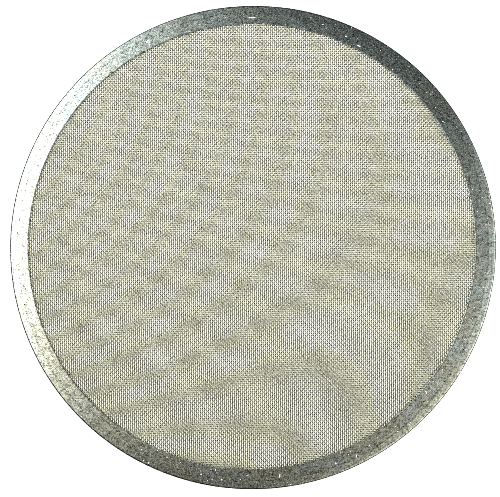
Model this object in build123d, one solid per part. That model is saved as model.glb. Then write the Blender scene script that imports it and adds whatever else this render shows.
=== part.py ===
from build123d import *
import os
from math import degrees, sqrt

# A drop-in screen for a round soil sieve: woven wire cloth held in a folded sheet-metal rim.
# The screen lies flat. Its axis is Z, the origin is the centre of its underside, and the wires
# of the warp run along Y and those of the weft along X. All sizes are in millimetres.

# The rim: one strip of galvanised sheet, folded to a channel and rolled to a ring. Its upper lip
# is pressed flat on the cloth, and falls a little from the edge of the cloth to the outer fold.
outer_diameter = 309.0
sheet = 0.5
opening_diameter = 284.0
opening_offset = -0.4        # the lips are trimmed a little off centre, along X
fall_start = 150.0           # radius from which the upper lip slopes down, just outside the cloth
fall = 0.12                  # how far it comes down by the outer wall
fall_bend = 4.0              # radius of the slight bend where it starts
shoulder_radius = 1.0        # outside radius of the fold at the top of the web
foot_radius = 0.6            # outside radius of the fold at the bottom of the web
seam_angle = 110.0           # degrees from +X, where the two ends of the strip meet
seam_gap = 0.25

# The wire cloth: plain weave, cut to a disc whose edge lies inside the channel.
wire_diameter = 0.45
warp_pitch = 1.25
weft_pitch = 1.2275
cloth_radius = 149.3
seat_gap = 0.02              # play between a lip and the cloth, and between the two wire layers
nodes_per_layer = 12

outer_radius = outer_diameter / 2
blank_radius = opening_diameter / 2 - abs(opening_offset) - 0.5   # lips before they are trimmed
warp_height = sheet + seat_gap + wire_diameter / 2
weft_height = warp_height + wire_diameter + seat_gap
rim_height = weft_height + wire_diameter / 2 + seat_gap + sheet


def rim_channel():
    """The folded strip, swept round from one side of the seam to the other."""
    outside = FilletPolyline(
        (blank_radius, 0),
        (outer_radius, 0),
        (outer_radius, rim_height - fall),
        (fall_start, rim_height),
        (blank_radius, rim_height),
        radius=[foot_radius, shoulder_radius, fall_bend],
    )
    section = make_face(offset(outside, amount=sheet, side=Side.LEFT))
    seam_half_angle = degrees(seam_gap / 2 / outer_radius)
    plane = Plane.XZ.rotated((0, 0, seam_angle + seam_half_angle))
    ring = revolve(plane * section, axis=Axis.Z, revolution_arc=360 - 2 * seam_half_angle)
    return ring - Pos(opening_offset, 0, 0) * Cylinder(opening_diameter / 2, 4 * rim_height)


def wire(place_across, height, along_x):
    """One straight wire of the cloth, as long as the disc is at its place."""
    length = 2 * sqrt(cloth_radius**2 - place_across**2)
    if along_x:
        place = Pos(0, place_across, height) * Rot(0, 90, 0)
    else:
        place = Pos(place_across, 0, height) * Rot(90, 0, 0)
    return place * Cylinder(wire_diameter / 2, length)


def export_layer(name, pitch, height, along_x):
    """The wires of one layer, in groups of neighbours from one side of the disc to the other."""
    count = 2 * int(cloth_radius / pitch)
    places = [(i - (count - 1) / 2) * pitch for i in range(count)]
    for node in range(nodes_per_layer):
        first, last = (round(k * count / nodes_per_layer) for k in (node, node + 1))
        wires = [wire(place, height, along_x).solid() for place in places[first:last]]
        export_step(Compound(wires), f"parts/{name}_{node + 1:02d}.step")


os.makedirs("parts", exist_ok=True)
export_step(rim_channel(), "parts/rim_channel.step")
export_layer("warp_wires", warp_pitch, warp_height, along_x=False)
export_layer("weft_wires", weft_pitch, weft_height, along_x=True)
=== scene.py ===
"""Looks of the soil sieve screen: woven wire cloth in a folded, galvanised rim, on a pale floor."""

import math

import bmesh
import bpy
import numpy as np
from mathutils import Matrix, Vector


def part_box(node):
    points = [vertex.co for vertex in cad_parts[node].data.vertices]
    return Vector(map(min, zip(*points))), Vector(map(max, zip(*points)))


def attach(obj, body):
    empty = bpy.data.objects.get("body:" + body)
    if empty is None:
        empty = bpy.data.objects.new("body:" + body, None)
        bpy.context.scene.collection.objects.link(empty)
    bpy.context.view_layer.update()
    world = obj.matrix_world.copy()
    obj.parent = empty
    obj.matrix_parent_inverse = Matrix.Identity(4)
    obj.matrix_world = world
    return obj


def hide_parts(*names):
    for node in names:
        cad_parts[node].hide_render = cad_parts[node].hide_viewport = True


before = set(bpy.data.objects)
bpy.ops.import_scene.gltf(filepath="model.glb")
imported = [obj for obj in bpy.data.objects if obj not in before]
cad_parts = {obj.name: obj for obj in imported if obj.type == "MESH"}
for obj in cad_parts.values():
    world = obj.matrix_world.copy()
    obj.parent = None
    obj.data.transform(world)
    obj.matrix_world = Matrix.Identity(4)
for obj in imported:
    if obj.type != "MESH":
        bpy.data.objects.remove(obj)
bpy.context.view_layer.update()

MM = 0.001


# ---------------------------------------------------------------- facts read from the frame

def nodes_named(prefix):
    """The CAD nodes of one layer, in order across the cloth."""
    return sorted(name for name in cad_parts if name.startswith(prefix))


def layer_facts(prefix):
    """The wire diameter of one layer, and the height of its middle plane."""
    low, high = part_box(nodes_named(prefix)[0])
    return high.z - low.z, (low.z + high.z) / 2


WIRE, WARP_HEIGHT = layer_facts("warp_wires")
WEFT_HEIGHT = layer_facts("weft_wires")[1]
rim_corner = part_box("rim_channel")[1]
OUTER_RADIUS = rim_corner.x
RIM_HEIGHT = rim_corner.z
CLOTH_MIDDLE = (WARP_HEIGHT + WEFT_HEIGHT) / 2
CRIMP = WEFT_HEIGHT - WARP_HEIGHT
WARP_PITCH = 1.25 * MM
WEFT_PITCH = 1.2275 * MM
CLOTH_RADIUS = 149.3 * MM


# ---------------------------------------------------------------- small helpers

def add_mesh(name, verts, quads, smooth=True):
    """A mesh object from arrays of corners and quads, with smooth or flat faces."""
    mesh = bpy.data.meshes.new(name)
    mesh.from_pydata([], [], [])
    mesh.vertices.add(len(verts))
    mesh.vertices.foreach_set("co", np.asarray(verts, np.float32).ravel())
    mesh.loops.add(quads.size)
    mesh.loops.foreach_set("vertex_index", quads.ravel().astype(np.int32))
    mesh.polygons.add(len(quads))
    mesh.polygons.foreach_set("loop_start", np.arange(0, quads.size, 4, dtype=np.int32))
    mesh.polygons.foreach_set("use_smooth", np.full(len(quads), smooth))
    mesh.update(calc_edges=True)
    mesh.validate()
    piece = bpy.data.objects.new(name, mesh)
    bpy.context.scene.collection.objects.link(piece)
    return piece


# ---------------------------------------------------------------- the wire cloth

WIRE_SIDES = 6
WIRE_CAP = ((0, 1, 2, 3), (0, 3, 4, 5))     # two quads that close the six-sided end of a wire
STEPS_PER_PITCH = 3
SHORTEST_STEP = 0.2          # of a step, between a wire's end and the next ring of corners
WARP_DRIFT = {               # how far the warp was pulled along X in clamping, by powers of (x, y)
    (0, 0): -0.50, (0, 1): 0.24, (0, 2): -1.05, (0, 3): -0.64, (1, 0): -0.62,
    (1, 1): -0.24, (1, 2): 0.95, (2, 1): -0.38, (3, 0): 0.71,
}
WEFT_DRIFT = {               # and the weft along Y, both in millimetres at the edge of the cloth
    (0, 0): -0.08, (0, 1): -0.64, (0, 2): 0.28, (0, 3): 0.66,
    (1, 1): -0.26, (1, 2): -0.11, (2, 0): 0.54, (2, 1): 1.10,
}
WARP_SHARE = 0.3             # the stiff warp stays nearly straight, and the weft bends round it
CLAMP_RADIUS = 141.7 * MM    # from here outwards the lips hold the cloth flat
CLAMP_FADE = 1.5 * MM
CLOTH_WAVE = 0.12 * MM       # slow rise and fall of the cloth between its clamped edges
WAVE_END = 0.9               # square of the share of the radius at which that wave has died out


def crimp_share(u, v, own_share):
    """How much of the crossing height one layer's crimp takes: half of it where the lips clamp it."""
    free = np.clip((CLAMP_RADIUS - np.hypot(u, v)) / CLAMP_FADE, 0, 1)
    return 0.5 + (own_share - 0.5) * free


def drift(terms, a, b):
    """A smooth displacement: the sum of its terms at the point (a, b) of the unit disc."""
    return sum(amount * MM * a**i * b**j for (i, j), amount in terms.items())


def cloth_shift(u, v):
    """How far the cloth's own pull and wobble move a point (u, v) of the ideal weave, along X, Y and Z."""
    a, b = u / CLOTH_RADIUS, v / CLOTH_RADIUS
    free = np.clip(1 - (a * a + b * b) / WAVE_END, 0, 1)
    dz = CLOTH_WAVE * free * (np.sin(4.1 * a + 2.3 * b + 0.6) + 0.6 * np.sin(7.3 * b - 5.2 * a))
    return drift(WARP_DRIFT, a, b), drift(WEFT_DRIFT, a, b), dz


def wire_strip(place, pitch_along, count_along, over, along_y):
    """The corners and quads of one crimped wire whose middle line crosses the other layer's wires."""
    half = math.sqrt(CLOTH_RADIUS**2 - place**2)
    step = pitch_along / STEPS_PER_PITCH
    last = math.floor(half / step - SHORTEST_STEP)
    inner = np.arange(-last, last + 1) * step
    s = np.concatenate([[-half], inner, [half]])
    phase = np.pi * (s / pitch_along + (count_along - 1) / 2)
    u, v = (np.full_like(s, place), s) if along_y else (s, np.full_like(s, place))
    crimp = over * CRIMP * crimp_share(u, v, WARP_SHARE if along_y else 1 - WARP_SHARE)
    height = crimp * np.cos(phase)
    slope = -crimp * np.pi / pitch_along * np.sin(phase)
    turn = 2 * np.pi * (np.arange(WIRE_SIDES) + 0.5) / WIRE_SIDES
    side = np.cos(turn)[None, :] * WIRE / 2
    rise = np.sin(turn)[None, :] * WIRE / 2
    length = np.sqrt(1 + slope**2)
    along = s[:, None] - rise * (slope / length)[:, None]
    up = height[:, None] + rise / length[:, None]
    dx, dy, dz = cloth_shift(u, v)
    x, y = (place + side, along) if along_y else (along, place + side)
    z = CLOTH_MIDDLE + up + dz[:, None]
    verts = np.stack([x + dx[:, None], y + dy[:, None], z], axis=2).reshape(-1, 3)
    rings = np.arange(len(s) - 1)[:, None] * WIRE_SIDES
    corner = np.arange(WIRE_SIDES)[None, :]
    following = (corner + 1) % WIRE_SIDES
    beyond = rings + WIRE_SIDES
    sides = np.stack([rings + corner, rings + following, beyond + following, beyond + corner], axis=2)
    cap = np.array(WIRE_CAP)
    quads = np.concatenate([sides.reshape(-1, 4), cap[:, ::-1], cap + len(verts) - WIRE_SIDES])
    if along_y:
        quads = quads[:, ::-1]
    return verts, quads


def woven_group(name, places, first_index, pitch_along, count_along, layer_sign, along_y):
    """One CAD node's wires, woven: each passes over and under the other layer in turn."""
    verts, quads, base = [], [], 0
    for i, place in enumerate(places):
        over = layer_sign * (-1) ** (first_index + i)
        v, q = wire_strip(place, pitch_along, count_along, over, along_y)
        verts.append(v)
        quads.append(q + base)
        base += len(v)
    return add_mesh(name, np.concatenate(verts), np.concatenate(quads))


def wires_in(node_box, pitch, across):
    """The places of the wires that a CAD node holds, from its box."""
    low = node_box[0][across] + WIRE / 2
    count = round((node_box[1][across] - node_box[0][across] - WIRE) / pitch) + 1
    return [low + i * pitch for i in range(count)]


def weave_layer(prefix, pitch, other_pitch, layer_sign, material):
    """Every piece of one layer of the cloth."""
    across = 0 if prefix == "warp_wires" else 1
    other_count = 2 * int(CLOTH_RADIUS / other_pitch)
    along_y = across == 0
    index = 0
    for name in nodes_named(prefix):
        places = wires_in(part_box(name), pitch, across)
        piece = woven_group("woven_" + name, places, index, other_pitch, other_count, layer_sign, along_y)
        piece.data.materials.append(material)
        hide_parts(name)
        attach(piece, "root")
        index += len(places)


# ---------------------------------------------------------------- the rim

SHEET = 0.5 * MM
SHOULDER_RADIUS = 1.0 * MM
FOOT_RADIUS = 0.6 * MM
FALL_START = 150.0 * MM      # the upper lip slopes down a little from here to the outer wall
FALL = 0.12 * MM
FALL_BEND = 4.0 * MM
OPENING_RADIUS = 142.0 * MM
OPENING_OFFSET = -0.4 * MM
SEAM_ANGLE = 110.0
SEAM_GAP = 0.25 * MM
CUT_BEVEL = 0.08 * MM        # burr and rounding at the sheared edge of a lip
RIM_SEGMENTS = 1080
ARC_STEPS = 6
LIP_STEPS = 10
SLOPE_STEPS = 5
CREASE_DEPTH = 0.012 * MM    # the press leaves a fine groove where the cloth ends
GROOVE_WIDTH = 0.45 * MM
KNOCK_DEPTH = 0.035 * MM
KNOCK_FADE = 1.5 * MM        # the knocks die out towards the outer fold, which is stiff
SHARP_ANGLE = 30             # degrees


def opening_at(turn):
    """The radius of the trimmed opening at an angle round the rim."""
    across = OPENING_OFFSET * math.sin(turn)
    return OPENING_OFFSET * math.cos(turn) + math.sqrt(OPENING_RADIUS**2 - across**2)


def rounded(points, radii):
    """A path through (r, z) points with each inner corner rounded, and the path's normals to its left."""
    path, normals = [np.array(points[0])], []
    for before, corner, after, radius in zip(points, points[1:], points[2:], radii):
        into = np.subtract(corner, before) / math.dist(corner, before)
        away = np.subtract(after, corner) / math.dist(after, corner)
        bend = math.atan2(into[0] * away[1] - into[1] * away[0], into @ away)
        reach = radius * abs(math.tan(bend / 2))
        left = np.array([-into[1], into[0]]) * math.copysign(1, bend)
        middle = corner - into * reach + left * radius
        if not normals:
            normals.append(np.array([-into[1], into[0]]))
        for t in np.linspace(0, bend, ARC_STEPS + 1):
            spun = np.array([math.cos(t) * into[0] - math.sin(t) * into[1],
                             math.sin(t) * into[0] + math.cos(t) * into[1]])
            outward = np.array([spun[1], -spun[0]]) * math.copysign(1, bend)
            path.append(middle + outward * radius)
            normals.append(np.array([-spun[1], spun[0]]))
    path.append(np.array(points[-1]))
    normals.append(normals[-1])
    return np.array(path), np.array(normals)


def spaced(start, end, steps):
    """Evenly spaced points from start to end, so that the sheet between them can carry dents."""
    return np.linspace(start, end, steps + 1)[1:]


def rim_section(inner):
    """The closed (r, z) outline of the folded sheet, for an opening of the given radius."""
    corners = [
        (inner, 0),
        (OUTER_RADIUS, 0),
        (OUTER_RADIUS, RIM_HEIGHT - FALL),
        (FALL_START, RIM_HEIGHT),
        (inner, RIM_HEIGHT),
    ]
    outside, normals = rounded(corners, [FOOT_RADIUS, SHOULDER_RADIUS, FALL_BEND])
    inside = outside + normals * SHEET
    bend = -2 - ARC_STEPS
    slope = spaced(outside[bend - 1], outside[bend], SLOPE_STEPS)
    lip = spaced(outside[-2], (inner + CUT_BEVEL, RIM_HEIGHT), LIP_STEPS)
    burr = CUT_BEVEL / 4
    upper_edge = np.array([(inner + burr, RIM_HEIGHT - burr), (inner, RIM_HEIGHT - CUT_BEVEL)])
    lower_edge = np.array([(inner, SHEET - CUT_BEVEL), (inner + burr, SHEET - burr)])
    inside[-1] = (inner, RIM_HEIGHT - SHEET)
    inside[0] = (inner + CUT_BEVEL, SHEET)
    top = np.concatenate([outside[:bend], slope, outside[bend + 1:-1], lip, upper_edge])
    return np.concatenate([top, inside[::-1], lower_edge[::-1]]), len(top)


def dented(radius, turn, height):
    """How far small knocks and the press groove sink a point of the upper lip."""
    x, y = radius * np.cos(turn) / MM, radius * np.sin(turn) / MM
    bumps = np.sin(0.31 * x + 1.7 * np.sin(0.23 * y)) * np.sin(0.37 * y + 1.3 * np.sin(0.19 * x))
    groove = np.exp(-(((radius - CLOTH_RADIUS) / GROOVE_WIDTH) ** 2))
    sunk = KNOCK_DEPTH * (0.5 + 0.5 * bumps) + CREASE_DEPTH * groove
    fade = np.clip((OUTER_RADIUS - SHOULDER_RADIUS - radius) / KNOCK_FADE, 0, 1)
    return np.where(height > RIM_HEIGHT - FALL - CUT_BEVEL, sunk * fade, 0)


def build_rim(material):
    """The whole folded strip, from one side of its seam to the other."""
    half_gap = SEAM_GAP / 2 / OUTER_RADIUS
    start = math.radians(SEAM_ANGLE) + half_gap
    turns = start + np.linspace(0, 2 * math.pi - 2 * half_gap, RIM_SEGMENTS + 1)
    rows = []
    for turn in turns:
        section, top_count = rim_section(opening_at(turn))
        r, z = section[:, 0], section[:, 1].copy()
        z[:top_count] -= dented(r[:top_count], turn, z[:top_count])
        rows.append(np.stack([r * math.cos(turn), r * math.sin(turn), z], axis=1))
    count = len(rows[0])
    ring = np.arange(RIM_SEGMENTS)[:, None] * count
    beyond = ring + count
    point = np.arange(count)[None, :]
    following = (point + 1) % count
    quads = np.stack([ring + point, beyond + point, beyond + following, ring + following], axis=2)
    rim = add_mesh("folded_rim", np.concatenate(rows), quads.reshape(-1, 4))
    close_ends(rim, count)
    sharpen(rim)
    rim.data.materials.append(material)
    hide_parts("rim_channel")
    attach(rim, "root")


def close_ends(piece, count):
    """A face over each open end of a swept piece, whose rings have count points each."""
    work = bmesh.new()
    work.from_mesh(piece.data)
    work.verts.ensure_lookup_table()
    last = len(work.verts) - count
    first_end = [work.verts[i] for i in range(count)]
    last_end = [work.verts[last + i] for i in reversed(range(count))]
    caps = [work.faces.new(corners) for corners in (first_end, last_end)]
    bmesh.ops.triangulate(work, faces=caps)
    bmesh.ops.recalc_face_normals(work, faces=work.faces)
    work.to_mesh(piece.data)
    work.free()


def sharpen(piece):
    """Keeps the folds smooth and the sheared edges crisp."""
    piece.data.polygons.foreach_set("use_smooth", np.ones(len(piece.data.polygons), bool))
    piece.data.set_sharp_from_angle(angle=math.radians(SHARP_ANGLE))


# ---------------------------------------------------------------- nodes

def feed(tree, socket, value):
    """Links a socket to another one, or gives it a plain value."""
    if isinstance(value, bpy.types.NodeSocket):
        tree.links.new(value, socket)
    else:
        socket.default_value = value


def node(tree, kind, *values, **settings):
    """A new node: values go to its first inputs, and settings to properties or inputs of that name."""
    made = tree.nodes.new(kind)
    for key, value in settings.items():
        if hasattr(made, key):
            setattr(made, key, value)
        else:
            feed(tree, made.inputs[key.replace("_", " ")], value)
    for socket, value in zip(made.inputs, values):
        feed(tree, socket, value)
    return made


def combine(tree, operation, *values):
    """The result of a math node on sockets or numbers."""
    return node(tree, "ShaderNodeMath", *values, operation=operation).outputs[0]


def map_range(tree, value, from_min, from_max, to_min=0.0, to_max=1.0, kind="LINEAR"):
    """A socket's value carried from one range to another, and held at its ends."""
    made = node(tree, "ShaderNodeMapRange", value, interpolation_type=kind,
                From_Min=from_min, From_Max=from_max, To_Min=to_min, To_Max=to_max)
    return made.outputs["Result"]


def noise(tree, place, scale, detail, roughness=0.6):
    """A noise texture at object scale, in features per metre."""
    made = node(tree, "ShaderNodeTexNoise", Vector=place, Scale=scale, Detail=detail, Roughness=roughness)
    return made.outputs["Fac"]


def ramp(tree, source, stops):
    """A colour ramp on source, with (place, colour) stops."""
    made = node(tree, "ShaderNodeValToRGB", source)
    for i, (place, colour) in enumerate(stops):
        stop = made.color_ramp.elements[i] if i < 2 else made.color_ramp.elements.new(place)
        stop.position = place
        stop.color = (*colour, 1)
    return made.outputs[0]


def parts_of(tree, place):
    """The X and Y of a position, as two sockets."""
    split = node(tree, "ShaderNodeSeparateXYZ", place)
    return split.outputs["X"], split.outputs["Y"]


def new_material(name):
    """An empty node material, its node tree, its Principled shader, and the place on the object."""
    mat = bpy.data.materials.new(name)
    mat.use_nodes = True
    tree = mat.node_tree
    return mat, tree, tree.nodes["Principled BSDF"], node(tree, "ShaderNodeTexCoord").outputs["Object"]


# ---------------------------------------------------------------- the look of the wires

WIRE_ROUGHNESS = (0.24, 0.34)
PAINTED_LIGHT_TOWARDS_Y = 0.3        # painted light: share of a wire's range of tone that it gains from the middle to the +Y edge


def wire_material(name, dark, light):
    """Zinc-coated wire: slow drift of tone over the cloth, painted light that makes it paler towards +Y,
    and a fine grain along it.
    """
    mat, tree, shader, place = new_material(name)
    y = parts_of(tree, place)[1]
    # painted light: the wires grow paler towards +Y
    side = combine(tree, "MULTIPLY", y, PAINTED_LIGHT_TOWARDS_Y / CLOTH_RADIUS)
    tone = combine(tree, "ADD", noise(tree, place, 45.0, 4.0), side)
    grain = noise(tree, place, 1500.0, 2.0, roughness=0.5)
    feed(tree, shader.inputs["Base Color"], ramp(tree, tone, [(0.15, dark), (0.85, light)]))
    feed(tree, shader.inputs["Roughness"], map_range(tree, grain, 0.0, 1.0, *WIRE_ROUGHNESS))
    shader.inputs["Metallic"].default_value = 1.0
    return mat


# ---------------------------------------------------------------- the look of the rim

CASTS = (                    # olive, grey and green patches of the zinc
    (0.34, (0.27, 0.272, 0.212)),
    (0.50, (0.275, 0.295, 0.26)),
    (0.66, (0.26, 0.302, 0.28)),
)
# painted light: the sheet turns greener towards +Y
GREEN_LIGHT_PAINTED_TOWARDS_Y = 0.16
FLAKE_CONTRAST = 0.8
GRAIN_CONTRAST = 3.2
TONE_OFFSET = 1.04           # brings the mean of flakes and grain back to about 1
DARKEST_TONE = 0.15
PRESS_FADE = 0.6 * MM        # the weave's dimples fade out this far to both sides of the cloth's edge
DIMPLE_HEIGHT = 0.25         # against the height of the grain
# painted shade along the crease where the cloth ends, made patchy with noise
CREASE_PLACE = CLOTH_RADIUS + 0.1 * MM
CREASE_WIDTH = 0.45 * MM     # to each side
CREASE_PAINTED_SHADE = 0.35
# painted shade on the steep outer fold, which mirrors the dark room there; darker towards -X
PAINTED_SHADE_FROM = OUTER_RADIUS - 0.85 * MM
PAINTED_SHADE_TO = OUTER_RADIUS - 0.65 * MM
PAINTED_SHADE_SHIFT = 0.2 * MM       # the painted shade on the outer fold is wider at -X and narrower at +X
PAINTED_SHADE_DARKENING = 0.93
RIM_ROUGHNESS = (0.18, 0.30)
BARE_COLOUR = (0.92, 0.93, 0.92)
SCRATCH_DULLNESS = 0.8       # how much less metallic a scratch looks than the sheet
MARKS = (                    # angle, radius, length and width of a scratch, and its slant off the rim's run
    (90.5, 146.2, 5.0, 0.8, 2),
    (-63, 149.0, 2.4, 0.5, 50),
    (-82, 147.0, 2.6, 0.5, 80),
    (-40, 144.3, 2.0, 0.5, 60),
    (-101, 148.5, 1.0, 0.8, 0),
    (-96, 149.5, 1.1, 0.9, 30),
    (118, 147.5, 2.4, 0.6, 20),
    (66, 146.5, 1.2, 0.9, 0),
    (62, 144.4, 2.6, 0.6, 8),
)


def vector_maths(tree, operation, *values):
    """A vector math node on sockets or plain vectors."""
    return node(tree, "ShaderNodeVectorMath", *values, operation=operation).outputs


def from_axis(tree, place):
    """The distance of a place from the rim's axis."""
    flat = vector_maths(tree, "MULTIPLY", place, (1, 1, 0))[0]
    return vector_maths(tree, "LENGTH", flat)["Value"]


def mark_mask(tree, place, angle, radius, length, width, slant):
    """One where a scratch lies on the upper lip, fading to nought at its ends and sides."""
    turn = math.radians(angle)
    centre = Vector((radius * math.cos(turn), radius * math.sin(turn), RIM_HEIGHT / MM)) * MM
    heading = -turn - math.pi / 2 - math.radians(slant)
    shift = vector_maths(tree, "SUBTRACT", place, centre)[0]
    spin = node(tree, "ShaderNodeVectorRotate", rotation_type="Z_AXIS", Vector=shift, Angle=heading)
    size = vector_maths(tree, "DIVIDE", spin.outputs[0], (length / 2 * MM, width / 2 * MM, MM))[0]
    away = vector_maths(tree, "LENGTH", size)["Value"]
    return map_range(tree, away, 1.1, 0.7)


def scratches(tree, place):
    """One on the scratches and on the bright specks of bare zinc, nought elsewhere."""
    worn = map_range(tree, noise(tree, place, 900.0, 1.0), 0.72, 0.80)
    for mark in MARKS:
        worn = combine(tree, "MAXIMUM", worn, mark_mask(tree, place, *mark))
    return worn


def zinc_tone(tree, place, reach, x, grain):
    """The brightness of the zinc: flakes and grain, painted shade along the crease, and painted shade on
    the outer fold.
    """
    spangle = node(tree, "ShaderNodeTexVoronoi", Vector=place, Scale=900.0)
    flakes = node(tree, "ShaderNodeSeparateColor", spangle.outputs["Color"]).outputs[0]
    flakes = combine(tree, "MULTIPLY", flakes, FLAKE_CONTRAST)
    tone = combine(tree, "ADD", flakes, combine(tree, "MULTIPLY", grain, GRAIN_CONTRAST))
    tone = combine(tree, "MAXIMUM", combine(tree, "SUBTRACT", tone, TONE_OFFSET), DARKEST_TONE)
    # painted shade along the crease
    crease = combine(tree, "COMPARE", reach, CREASE_PLACE, CREASE_WIDTH)
    crease_shade = combine(tree, "MULTIPLY", crease, noise(tree, place, 500.0, 2.0))
    tone = combine(tree, "SUBTRACT", tone, combine(tree, "MULTIPLY", crease_shade, CREASE_PAINTED_SHADE))
    # painted shade on the outer fold, wider towards -X
    skew = combine(tree, "MULTIPLY", x, -PAINTED_SHADE_SHIFT / OUTER_RADIUS)
    skewed = combine(tree, "ADD", reach, skew)
    painted_fold_shade = map_range(tree, skewed, PAINTED_SHADE_FROM, PAINTED_SHADE_TO, to_max=PAINTED_SHADE_DARKENING)
    return combine(tree, "MULTIPLY", tone, combine(tree, "SUBTRACT", 1.0, painted_fold_shade))


def weave_imprint(tree, x, y):
    """The dimples that the cloth leaves in the lip that is pressed on it."""
    waves = [
        combine(tree, "SINE", combine(tree, "MULTIPLY", socket, 2 * math.pi / pitch))
        for socket, pitch in ((x, WARP_PITCH), (y, WEFT_PITCH))
    ]
    return combine(tree, "MULTIPLY", *waves)


def rim_material():
    """Galvanised sheet: dull grey, green to olive, with a fine spangle, weave dimples and scratches;
    painted light makes it greener towards +Y, and painted shade darkens the crease and the outer fold.
    """
    mat, tree, shader, place = new_material("galvanised_sheet")
    x, y = parts_of(tree, place)
    reach = from_axis(tree, place)
    grain = noise(tree, place, 1100.0, 2.0)

    # painted light: greener towards +Y
    side = combine(tree, "MULTIPLY", y, GREEN_LIGHT_PAINTED_TOWARDS_Y / OUTER_RADIUS)
    cast = ramp(tree, combine(tree, "ADD", noise(tree, place, 38.0, 3.0), side), CASTS)
    tone = zinc_tone(tree, place, reach, x, grain)
    shade = node(tree, "ShaderNodeVectorMath", cast, operation="SCALE", Scale=tone)
    worn = scratches(tree, place)
    colour = node(tree, "ShaderNodeMix", data_type="RGBA", Factor=worn)
    feed(tree, colour.inputs[6], shade.outputs[0])
    feed(tree, colour.inputs[7], (*BARE_COLOUR, 1))
    metal = combine(tree, "SUBTRACT", 1.0, combine(tree, "MULTIPLY", worn, SCRATCH_DULLNESS))
    feed(tree, shader.inputs["Base Color"], colour.outputs[2])
    feed(tree, shader.inputs["Metallic"], metal)
    feed(tree, shader.inputs["Roughness"], map_range(tree, grain, 0.0, 1.0, *RIM_ROUGHNESS))

    pressed = map_range(tree, reach, CLOTH_RADIUS - PRESS_FADE, CLOTH_RADIUS + PRESS_FADE,
                        to_min=1.0, to_max=0.0, kind="SMOOTHSTEP")
    dimples = combine(tree, "MULTIPLY", weave_imprint(tree, x, y), pressed)
    relief = combine(tree, "ADD", combine(tree, "MULTIPLY", dimples, DIMPLE_HEIGHT), grain)
    bump = node(tree, "ShaderNodeBump", Strength=0.25, Distance=0.06 * MM, Height=relief)
    feed(tree, shader.inputs["Normal"], bump.outputs["Normal"])
    return mat


def floor_material():
    """Plain pale matt floor."""
    mat, _, shader, _ = new_material("pale_floor")
    shader.inputs["Base Color"].default_value = (0.9, 0.9, 0.9, 1)
    shader.inputs["Roughness"].default_value = 0.9
    return mat


# ---------------------------------------------------------------- the stage

CAMERA_PLACE = Vector((27.4, -66.8, 632.4)) * MM
CAMERA_BACK = Vector((0.0436, -0.0984, 0.9942))
CAMERA_UP = Vector((-0.0116, 0.9950, 0.0990))
CAMERA_LENS = 72.0
CAMERA_SENSOR = 36.0
SOFTBOXES = (                # azimuth, angle from the zenith, half width, soft edge, strength
    (162, 41, 25, 7, 6.4),
    (154, 20, 6, 4, 5.0),
    (-21, 44, 31, 10, 3.3),
)


def add_camera():
    """The camera, almost straight above the screen and a little towards its lower right."""
    data = bpy.data.cameras.new("camera")
    data.lens = CAMERA_LENS
    data.sensor_width = CAMERA_SENSOR
    data.clip_start = 0.01
    camera = bpy.data.objects.new("camera", data)
    bpy.context.scene.collection.objects.link(camera)
    back = CAMERA_BACK.normalized()
    right = CAMERA_UP.cross(back).normalized()
    up = back.cross(right)
    turn = Matrix((right, up, back)).transposed().to_4x4()
    camera.matrix_world = Matrix.Translation(CAMERA_PLACE) @ turn
    bpy.context.scene.camera = camera


def sky_direction(azimuth, from_zenith):
    """The direction of a place in the room, from its azimuth (0 is +X) and its angle from straight up."""
    around, down = math.radians(azimuth), math.radians(from_zenith)
    return Vector((math.cos(around) * math.sin(down), math.sin(around) * math.sin(down), math.cos(down)))


def add_sweep(name, azimuth, from_zenith, width, strength):
    """A soft, distant lamp low over the floor, which it lights from one side. Angles are in degrees."""
    data = bpy.data.lights.new(name, "SUN")
    data.angle = math.radians(width)
    data.energy = strength
    lamp = bpy.data.objects.new(name, data)
    lamp.rotation_euler = sky_direction(azimuth, from_zenith).to_track_quat("Z", "Y").to_euler()
    lamp.visible_glossy = False
    bpy.context.scene.collection.objects.link(lamp)


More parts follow.
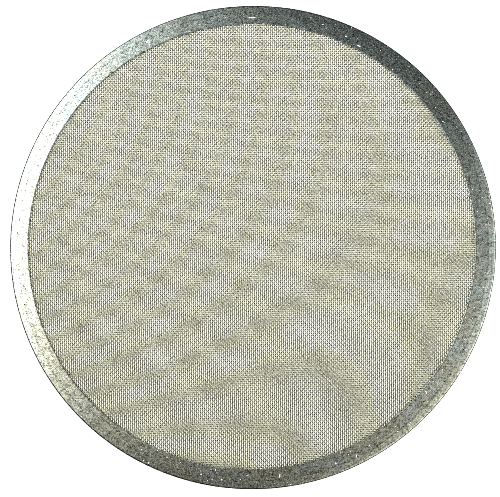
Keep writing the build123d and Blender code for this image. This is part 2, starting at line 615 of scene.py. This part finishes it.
def add_room(softboxes, wall, felt, seen):
    """The studio: softboxes and dim walls for the metal to mirror, and pale walls to look at."""
    world = bpy.data.worlds.new("room")
    world.use_nodes = True
    tree = world.node_tree
    direction = node(tree, "ShaderNodeTexCoord").outputs["Generated"]
    mirrored = wall
    for azimuth, from_zenith, half_width, edge, strength in softboxes:
        facing = vector_maths(tree, "DOT_PRODUCT", direction, sky_direction(azimuth, from_zenith))["Value"]
        outer = math.cos(math.radians(half_width + edge))
        inner = math.cos(math.radians(half_width - edge))
        panel = map_range(tree, facing, outer, inner, to_max=strength, kind="SMOOTHSTEP")
        mirrored = combine(tree, "ADD", mirrored, panel)
    rays = node(tree, "ShaderNodeLightPath").outputs
    light = combine(tree, "MULTIPLY", mirrored, rays["Is Glossy Ray"])
    light = combine(tree, "MULTIPLY_ADD", rays["Is Diffuse Ray"], felt, light)
    light = combine(tree, "MULTIPLY_ADD", rays["Is Camera Ray"], seen, light)
    feed(tree, tree.nodes["Background"].inputs["Strength"], light)
    tree.nodes["Background"].inputs["Color"].default_value = (1, 1, 1, 1)
    bpy.context.scene.world = world


def add_floor():
    """A wide flat floor under the screen."""
    half = 8.0
    verts = np.array([[-half, -half, 0], [half, -half, 0], [half, half, 0], [-half, half, 0]], float)
    floor = add_mesh("floor", verts, np.array([[0, 1, 2, 3]]), smooth=False)
    floor.data.materials.append(floor_material())


add_camera()
add_floor()
add_sweep("sweep_left", azimuth=180, from_zenith=80, width=6, strength=24.0)
add_sweep("sweep_right", azimuth=0, from_zenith=80, width=6, strength=24.0)
add_room(SOFTBOXES, wall=0.08, felt=0.1, seen=1.1)
scene = bpy.context.scene
scene.view_settings.view_transform = "Standard"
scene.cycles.use_denoising = False
scene.cycles.pixel_filter_type = "GAUSSIAN"
scene.cycles.filter_width = 1.0

# both layers are the same zinc: the warp's pale colours are painted light and the weft's dark ones painted
# shade, for how the side lamps catch each layer
warp_zinc = wire_material("zinc_wire_painted_lit", (0.87, 0.87, 0.69), (0.99, 0.985, 0.86))
weft_zinc = wire_material("zinc_wire_painted_shade", (0.40, 0.40, 0.32), (0.68, 0.68, 0.58))
weave_layer("warp_wires", WARP_PITCH, WEFT_PITCH, -1, warp_zinc)
weave_layer("weft_wires", WEFT_PITCH, WARP_PITCH, 1, weft_zinc)

build_rim(rim_material())
